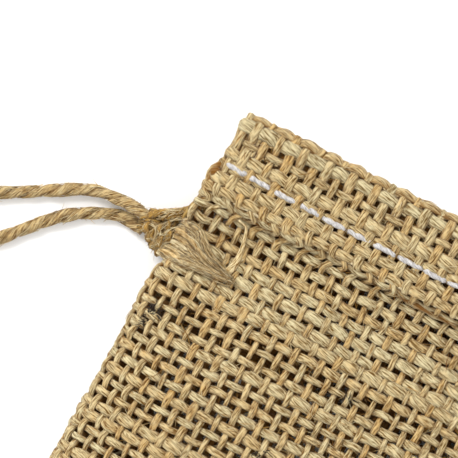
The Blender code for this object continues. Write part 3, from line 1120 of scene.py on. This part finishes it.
def twine_hairs(lines, per_mm, length, seed):
    """Fibres that stand out from lengths of twine."""
    source = np.random.default_rng(seed)
    starts, directions = [], []
    for line in lines:
        points = line["points"]
        tangents = headings(points)
        for number in source.integers(1, len(points) - 1, int(total_length(points) * per_mm)):
            out = np.cross(tangents[number], source.normal(0, 1, 3))
            out /= np.linalg.norm(out)
            starts.append(points[number] + out * line["radius"][number] * 0.85)
            ahead = tangents[number] * source.choice((-1, 1))
            directions.append(ahead + out * abs(source.normal(0, 0.35)))
    lengths = source.gamma(3.0, length / 3.0, len(starts))
    return hairs(starts, directions, np.clip(lengths, 0.5, 6), TWINE_HAIR, 0.35, seed + 1, 0.45)


def cloth_top(x, y):
    """Height of the yarns' tops on the front, or of the seam beyond the edge."""
    side = 1 if x > 0 else -1
    if abs(x) >= edge_x(y, side) + 0.3:
        return SEAM_Z + 0.6
    return float(outer_height(abs(x), y, side, 1)) + 0.75


# The brush spreads from a root across the knot, between a lower and an upper edge.
TAIL_ROOT = [(-49.9, 43.9), (-49.5, 46.0), (-48.9, 48.2), (-48.6, 50.4)]
TAIL_LOWER = [(-49.6, 44.0), (-46.6, 43.6), (-42.4, 44.4), (-39.0, 44.7), (-36.9, 45.2)]
TAIL_UPPER = [
    (-48.3, 50.6),
    (-46.4, 50.9),
    (-45.0, 50.2),
    (-43.6, 48.8),
    (-42.0, 47.5),
    (-40.2, 46.7),
    (-37.2, 45.6),
]
TAIL_BUNDLES = 21
TAIL_FIBRES = 420
TAIL_POINTS = 14
TAIL_REST = 4.4  # the brush bridges the slit at this height
BUNDLE_TAPER = (0.9, 1.1, 1.0, 0.7, 0.15)
FIBRE_TAPER = (1, 1, 1, 0.8, 0.4)


def frayed_tail():
    """The twine's loose end, combed out over the cloth: flat bundles, then fine fibres."""

    def flat_route(route):
        return through([(x, y, 0.0) for x, y in route], 0.25)

    def along(line, share):
        place = share * (len(line) - 1)
        first = min(int(place), len(line) - 2)
        return mix(line[first], line[first + 1], place - first)

    root, lower, upper = flat_route(TAIL_ROOT), flat_route(TAIL_LOWER), flat_route(TAIL_UPPER)
    source = np.random.default_rng(44)
    bundles, strands = [], []
    for number in range(TAIL_BUNDLES + TAIL_FIBRES):
        wide = number < TAIL_BUNDLES
        place = (number + 0.5) / TAIL_BUNDLES if wide else source.uniform(0, 1)
        reach = source.uniform(0.78, 0.98) if wide else source.uniform(0.5, 1.1)
        start = 0.0 if wide else source.uniform(0.0, 0.35)
        points = []
        for share in np.linspace(start, min(reach, 1.0), TAIL_POINTS):
            fan = mix(along(lower, share), along(upper, share), place)
            points.append(mix(along(root, place), fan, smooth_rise(-0.1, 0.22, share)))
        points = blur(np.array(points), 0, 1)
        drift = source.normal(0, 0.035 if wide else 0.07, (TAIL_POINTS, 2))
        points[:, :2] += np.cumsum(drift, axis=0)
        cover = np.array([cloth_top(x, y) for x, y in points[:, :2]])
        layer = 0.24 * (number % 3) if wide else source.uniform(0.35, 0.8)
        points[:, 2] = blur(np.maximum(cover, TAIL_REST) + layer, 0, 3)
        width = source.uniform(0.26, 0.56) if wide else source.uniform(0.04, 0.09)
        taper = BUNDLE_TAPER if wide else FIBRE_TAPER
        line = {
            "points": points,
            "radius": width * np.interp(np.linspace(0, 4, TAIL_POINTS), np.arange(5), taper),
            "shade": 0.3 + source.uniform(-0.3, 0.35),
            "tilt": np.linspace(0, source.uniform(0.5, 2), TAIL_POINTS),
            "rise": np.full(TAIL_POINTS, 0.25 if wide else source.uniform(-0.55, 0.6)),
        }
        if wide:
            line["normal"] = np.tile((0.0, 0.0, 1.0), (TAIL_POINTS, 1))
            line["flat"] = 0.6
        (bundles if wide else strands).append(line)
    return bundles, strands


def laid_hairs(lines, per_mm, seed):
    """Fibres that lie close along lengths of twine, slanting across its plies."""
    source = np.random.default_rng(seed)
    made = []
    for line in lines:
        points, radius = line["points"], line["radius"]
        tangents = headings(points)
        side = np.cross(tangents, (0.0, 0.0, 1.0))
        side /= np.maximum(np.linalg.norm(side, axis=1, keepdims=True), 1e-6)
        rise = np.cross(side, tangents)
        count = int(total_length(points) * per_mm)
        for first in source.integers(0, len(points) - LAID_SPAN[1], count):
            part = np.arange(first, first + source.integers(*LAID_SPAN), 2)
            start = source.uniform(0, 2 * math.pi)
            angle = start + np.linspace(0, 1, len(part)) * source.normal(0.9, 0.7)
            reach = radius[part] * source.uniform(0.93, 1.06)
            out = np.cos(angle)[:, None] * side[part] + np.sin(angle)[:, None] * rise[part]
            made.append(
                {
                    "points": points[part] + out * reach[:, None],
                    "radius": np.full(len(part), source.uniform(0.035, 0.075)),
                    "shade": 0.35 + source.uniform(-0.4, 0.5),
                    "rise": np.full(len(part), source.choice((0.5, 0.3, -0.1))),
                }
            )
    return made


KNOT_STRAYS = (  # long pale fibres that lie over the knot
    [(-52.6, 45.0, 4.4), (-51.6, 45.5, 5.7), (-50.5, 45.5, 6.2), (-50.1, 45.1, 6.3)],
    [(-51.5, 47.1, 6.0), (-50.4, 46.7, 6.3), (-49.4, 48.2, 6.3), (-48.1, 49.4, 6.2)],
    [(-49.8, 44.1, 5.9), (-49.3, 45.6, 6.3), (-48.4, 46.2, 6.4), (-47.2, 45.9, 6.2)],
    [(-53.4, 47.4, 4.8), (-52.0, 47.5, 5.9), (-51.2, 46.5, 6.3), (-51.2, 45.4, 6.1)],
    [(-50.8, 49.9, 6.2), (-50.0, 49.4, 6.4), (-49.2, 50.1, 6.7), (-48.3, 50.6, 6.4)],
    [(-51.0, 44.0, 5.0), (-50.4, 45.4, 6.1), (-50.6, 47.0, 6.3), (-51.6, 48.0, 5.8)],
)


def knot_strays():
    """The long fibres over the knot, each a small bundle of three."""
    source = np.random.default_rng(91)
    made = []
    for route in KNOT_STRAYS * 3:
        points = through(np.array(route) + source.normal(0, 0.16, (len(route), 3)), 0.4)
        made.append(
            {
                "points": points,
                "radius": np.full(len(points), source.uniform(0.06, 0.1)),
                "shade": 0.2,
                "rise": np.full(len(points), 0.6),
            }
        )
    return made


KNOT_CENTRE = np.array([-50.1, 47.3, 3.9])
KNOT_AXIS = np.array([0.76, -0.65, 0.0])
KNOT_ACROSS = np.array([0.65, 0.76, 0.0])
KNOT_UP = np.array([0.0, 0.0, 1.0])
KNOT_WRAPS = ((-1.75, 2.45, 1.7), (-0.35, 2.6, 2.0), (1.0, 2.3, 1.8))  # along, across, up
WRAP_STEPS = 14  # points in a turn of a wrap
WRAP_START = 2.3  # the angle at which each wrap comes out of the knot, in radians
WRAP_ADVANCE = 1.3  # how far one turn moves on along the knot
WRAP_SHIFT = 2.6  # so the grooves of one wrap don't line up with the next one's
WRAP_RADIUS = 0.78
WRAP_TWIST = 2.4  # the plies are wrung tighter in the knot
KNOT_STRANDS = (  # the twine's ways into the knot and out of it
    [(-54.6, 48.3, 3.2), (-52.8, 48.0, 3.8), (-51.0, 47.3, 4.3), (-49.4, 46.4, 4.3), (-48.2, 45.6, 4.6)],
    [(-54.4, 46.6, 1.7), (-52.3, 46.9, 2.6), (-50.4, 46.2, 3.2), (-48.9, 45.2, 3.8), (-47.8, 44.4, 4.4)],
    [(-48.4, 51.6, 6.1), (-49.4, 51.0, 6.1), (-50.6, 50.3, 5.9), (-52.0, 49.5, 5.3), (-53.6, 48.9, 4.3)],
    [(-47.6, 50.9, 4.0), (-48.8, 50.0, 3.6), (-50.2, 49.3, 3.2), (-51.6, 48.5, 2.8), (-53.0, 47.3, 2.4)],
)
STRAND_RADII = (0.95, 0.95, 0.85, 0.9)
STRAND_SHADES = (0.7, 0.7, 0.7, 0.8)


def knot_lines():
    """An overhand knot: both ends of the loop pass through, and wrap round themselves."""
    lines = []
    for number, (begin, reach, lift) in enumerate(KNOT_WRAPS):
        route = []
        for step in range(WRAP_STEPS + 3):
            angle = 2 * math.pi * (step / WRAP_STEPS) + WRAP_START
            route.append(
                KNOT_CENTRE
                + KNOT_AXIS * (begin + WRAP_ADVANCE * step / WRAP_STEPS)
                + KNOT_ACROSS * reach * math.cos(angle)
                + KNOT_UP * lift * math.sin(angle)
            )
        start = number * WRAP_SHIFT
        wrap = twine_line(route, WRAP_RADIUS, spacing=0.25, shade=0.7, wander=0.1, start=start)
        wrap["tilt"] = wrap["tilt"] * WRAP_TWIST
        lines.append(wrap)
    for route, radius, shade in zip(KNOT_STRANDS, STRAND_RADII, STRAND_SHADES):
        lines.append(twine_line(route, radius, shade=shade))
    return lines


CURL_ROUTE = [
    (-39.6, 44.6),
    (-38.6, 46.0),
    (-38.0, 47.6),
    (-37.9, 49.4),
    (-38.2, 51.2),
    (-38.6, 52.8),
    (-39.1, 53.9),
    (-40.6, 54.3),
]


def frayed_curl():
    """One bundle of the brush that has curled away upwards over the cloth."""
    points = through([(x, y, cloth_top(x, y) + 0.35) for x, y in CURL_ROUTE], 0.5)
    count = len(points)
    return {
        "points": points,
        "radius": np.interp(np.arange(count), [0, 5, 12, count - 1], [0.55, 0.72, 0.5, 0.18]),
        "normal": np.tile((0.0, 0.0, 1.0), (count, 1)),
        "flat": 0.5,
        "tilt": np.arange(count) * 0.12,
        "shade": 0.35,
        "rise": np.full(count, 0.5),
    }


RUN_END = 43.7  # the runs reach so far to each side
BIGHT_X = 44.3
BIGHT_Z = 7.0
BIGHT_RADIUS = 4.7


def make_drawstring():
    """The twine: runs in the casings, exits, pull loop, knot and frayed tails."""
    plies = two_ply_outline(16, 0.3)
    worn_plies = two_ply_outline(16, 0.42)
    ribbon = (1.0, 0.9, 0.72, 0.95, 1.0, 0.86, 0.7, 0.92)
    twine = jute_fibre("laid_jute_twine", "#CEBD92", "#664614", "#F2D6A6", "#5E3806", 0.2)
    # a darker copy of the twine's finish, for the knot and where the twine leaves the casings
    drawn = jute_fibre("darker_jute_twine", "#BCA264", "#4A3008", "#F2D49C", "#301A00", 0.16)
    frayed = jute_fibre("frayed_jute_fibre", "#EEDFB4", "#8A6828", "#F7DAA8", "#543608", 0.17)
    made = {}

    def string_piece(node, name, lines, outline, finish, body="drawstring", uneven=0.0):
        made[node] = sweep(name, lines, outline, finish, body, uneven)

    loop_line = twine_line(PULL_LOOP)
    string_piece("pull_loop", "pull_loop_twine", [loop_line], plies, twine)
    for side, route in (("front", FRONT_EXIT), ("back", BACK_EXIT)):
        line = twine_line(route)
        string_piece(f"drawstring_{side}_exit", f"{side}_exit_twine", [line], plies, drawn)
        z = route[0][2]
        places = [(x, CASING_Y, z) for x in np.linspace(RUN_END, -RUN_END, 12)]
        line = twine_line(places, spacing=1.2)
        string_piece(f"drawstring_{side}_run", f"{side}_run_twine", [line], plies, twine)
    bight = [
        (BIGHT_X + BIGHT_RADIUS * math.cos(a), CASING_Y, BIGHT_Z + BIGHT_RADIUS * math.sin(a))
        for a in np.radians(np.linspace(-90, 90, 9))
    ]
    line = twine_line(bight)
    string_piece("drawstring_right_bight", "right_bight_twine", [line], plies, twine, "pouch")

    knot = knot_lines()
    string_piece("joining_knot", "overhand_knot", knot, worn_plies, drawn, uneven=0.11)
    loop_fuzz = twine_hairs([loop_line], 2.4, 0.9, 21) + laid_hairs([loop_line], 5.0, 41)
    knot_fuzz = twine_hairs(knot, 5.0, 0.9, 31) + laid_hairs(knot, 16.0, 33) + knot_strays()
    hair_piece = sweep("twine_hairs", loop_fuzz + knot_fuzz, FIBRE, frayed, "drawstring")
    bundles, strands = frayed_tail()
    string_piece("knot_tail_brush", "frayed_tail", bundles, ribbon, frayed)
    tail_fibres = sweep("frayed_tail_fibres", strands, FIBRE, frayed, "drawstring")
    string_piece("knot_tail_curl", "frayed_curl", [frayed_curl()], ribbon, frayed)

    for node, piece in made.items():
        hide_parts(node)
    route = [tuple(point * MM) for point in loop_line["points"]]


BARK_SPECKS = (  # x, y, how far it spreads, how many fibres
    (-46.3, 35.7, 0.55, 70),
    (-47.0, 33.2, 0.3, 16),
    (-21.0, 23.5, 0.45, 26),
    (-12.5, 37.0, 0.35, 18),
)


def bark_specks(cloth):
    """Where a scrap of the plant's bark was spun in: dark matted fibres."""
    source = np.random.default_rng(82)
    lines = []
    for x, y, spread, count in BARK_SPECKS:
        xs, ys = source.normal(x, spread, count), source.normal(y, spread, count)
        starts = cloth.at(xs, ys, source.uniform(-0.1, 0.55, count))
        angles = source.uniform(0, 2 * math.pi, count)
        directions = np.stack([np.cos(angles), np.sin(angles), np.zeros(count)], 1)
        lengths = source.uniform(0.6, 1.7, count)
        lines += hairs(starts, directions, lengths, 0.1, 0.5, count, 0.5)
    return lines


ALONG_WARP = 0.45  # share of the loose fibres that follow the warp


def make_cloth_hairs(sheets):
    """Fibres that the spinning left loose: pale over the yarns, brown across the holes, the brown a
    painted shade.
    """
    over = jute_fibre("loose_jute_fibre", "#D8C89E", "#96783C", "#F2CE98", "#7C5210")
    # painted shade: the fibres across the holes are real, but their darker colour stands in for the
    # shade in the holes
    under = jute_fibre("painted_shade_jute_fibre", "#96702A", "#6B4408", "#E0B470", "#5A3606")
    bark = jute_fibre("jute_bark", "#3A2E1C", "#1C140A", "#F0D6AC", "#140C04")
    made = [sweep("front_bark_specks", bark_specks(sheets["front"]), FIBRE, bark, "pouch")]
    kinds = (  # name, finish, how many, heights over the cloth, radius, length
        ("loose_fibres", over, {"front": 1900, "back": 900}, (0.15, 0.6), 0.045, 0.7),
        ("inner_fibres", under, {"front": 4200, "back": 2600}, (-0.75, -0.1), 0.09, 0.8),
    )
    for side, cloth in sheets.items():
        for kind, finish, counts, heights, radius, long in kinds:
            count = counts[side]
            source = np.random.default_rng(60 + cloth.panel + int(10 * heights[1]))
            xs = source.uniform(-44.5, 44.5, count)
            ys = source.uniform(-67.0, 67.5, count)
            starts = cloth.at(xs, ys, source.uniform(*heights, count))
            along_warp = source.random(count) < ALONG_WARP
            angles = np.where(along_warp, math.pi / 2, 0.0) + source.normal(0, 0.45, count)
            flip = source.choice((-1, 1), count)
            slopes = source.normal(0, 0.12, count)
            directions = np.stack([np.cos(angles) * flip, np.sin(angles) * flip, slopes], 1)
            lengths = np.clip(source.gamma(3.0, long, count), 0.8, 5.0)
            lines = hairs(starts, directions, lengths, radius, 0.3, 70 + cloth.panel, 0.35)
            made.append(sweep(f"{side}_{kind}", lines, FIBRE, finish, "pouch"))
    return made


make_stage()
sheets = {"front": Cloth(1), "back": Cloth(-1)}
make_drawstring()
threads = make_threads(sheets)
cloth = make_cloth(sheets)
for piece in make_cloth_hairs(sheets):
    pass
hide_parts("front_panel", "front_hem_flap", "bottom_fold")
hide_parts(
    "back_panel", "back_hem_flap", "left_seam_allowance", "right_seam_allowance"
)
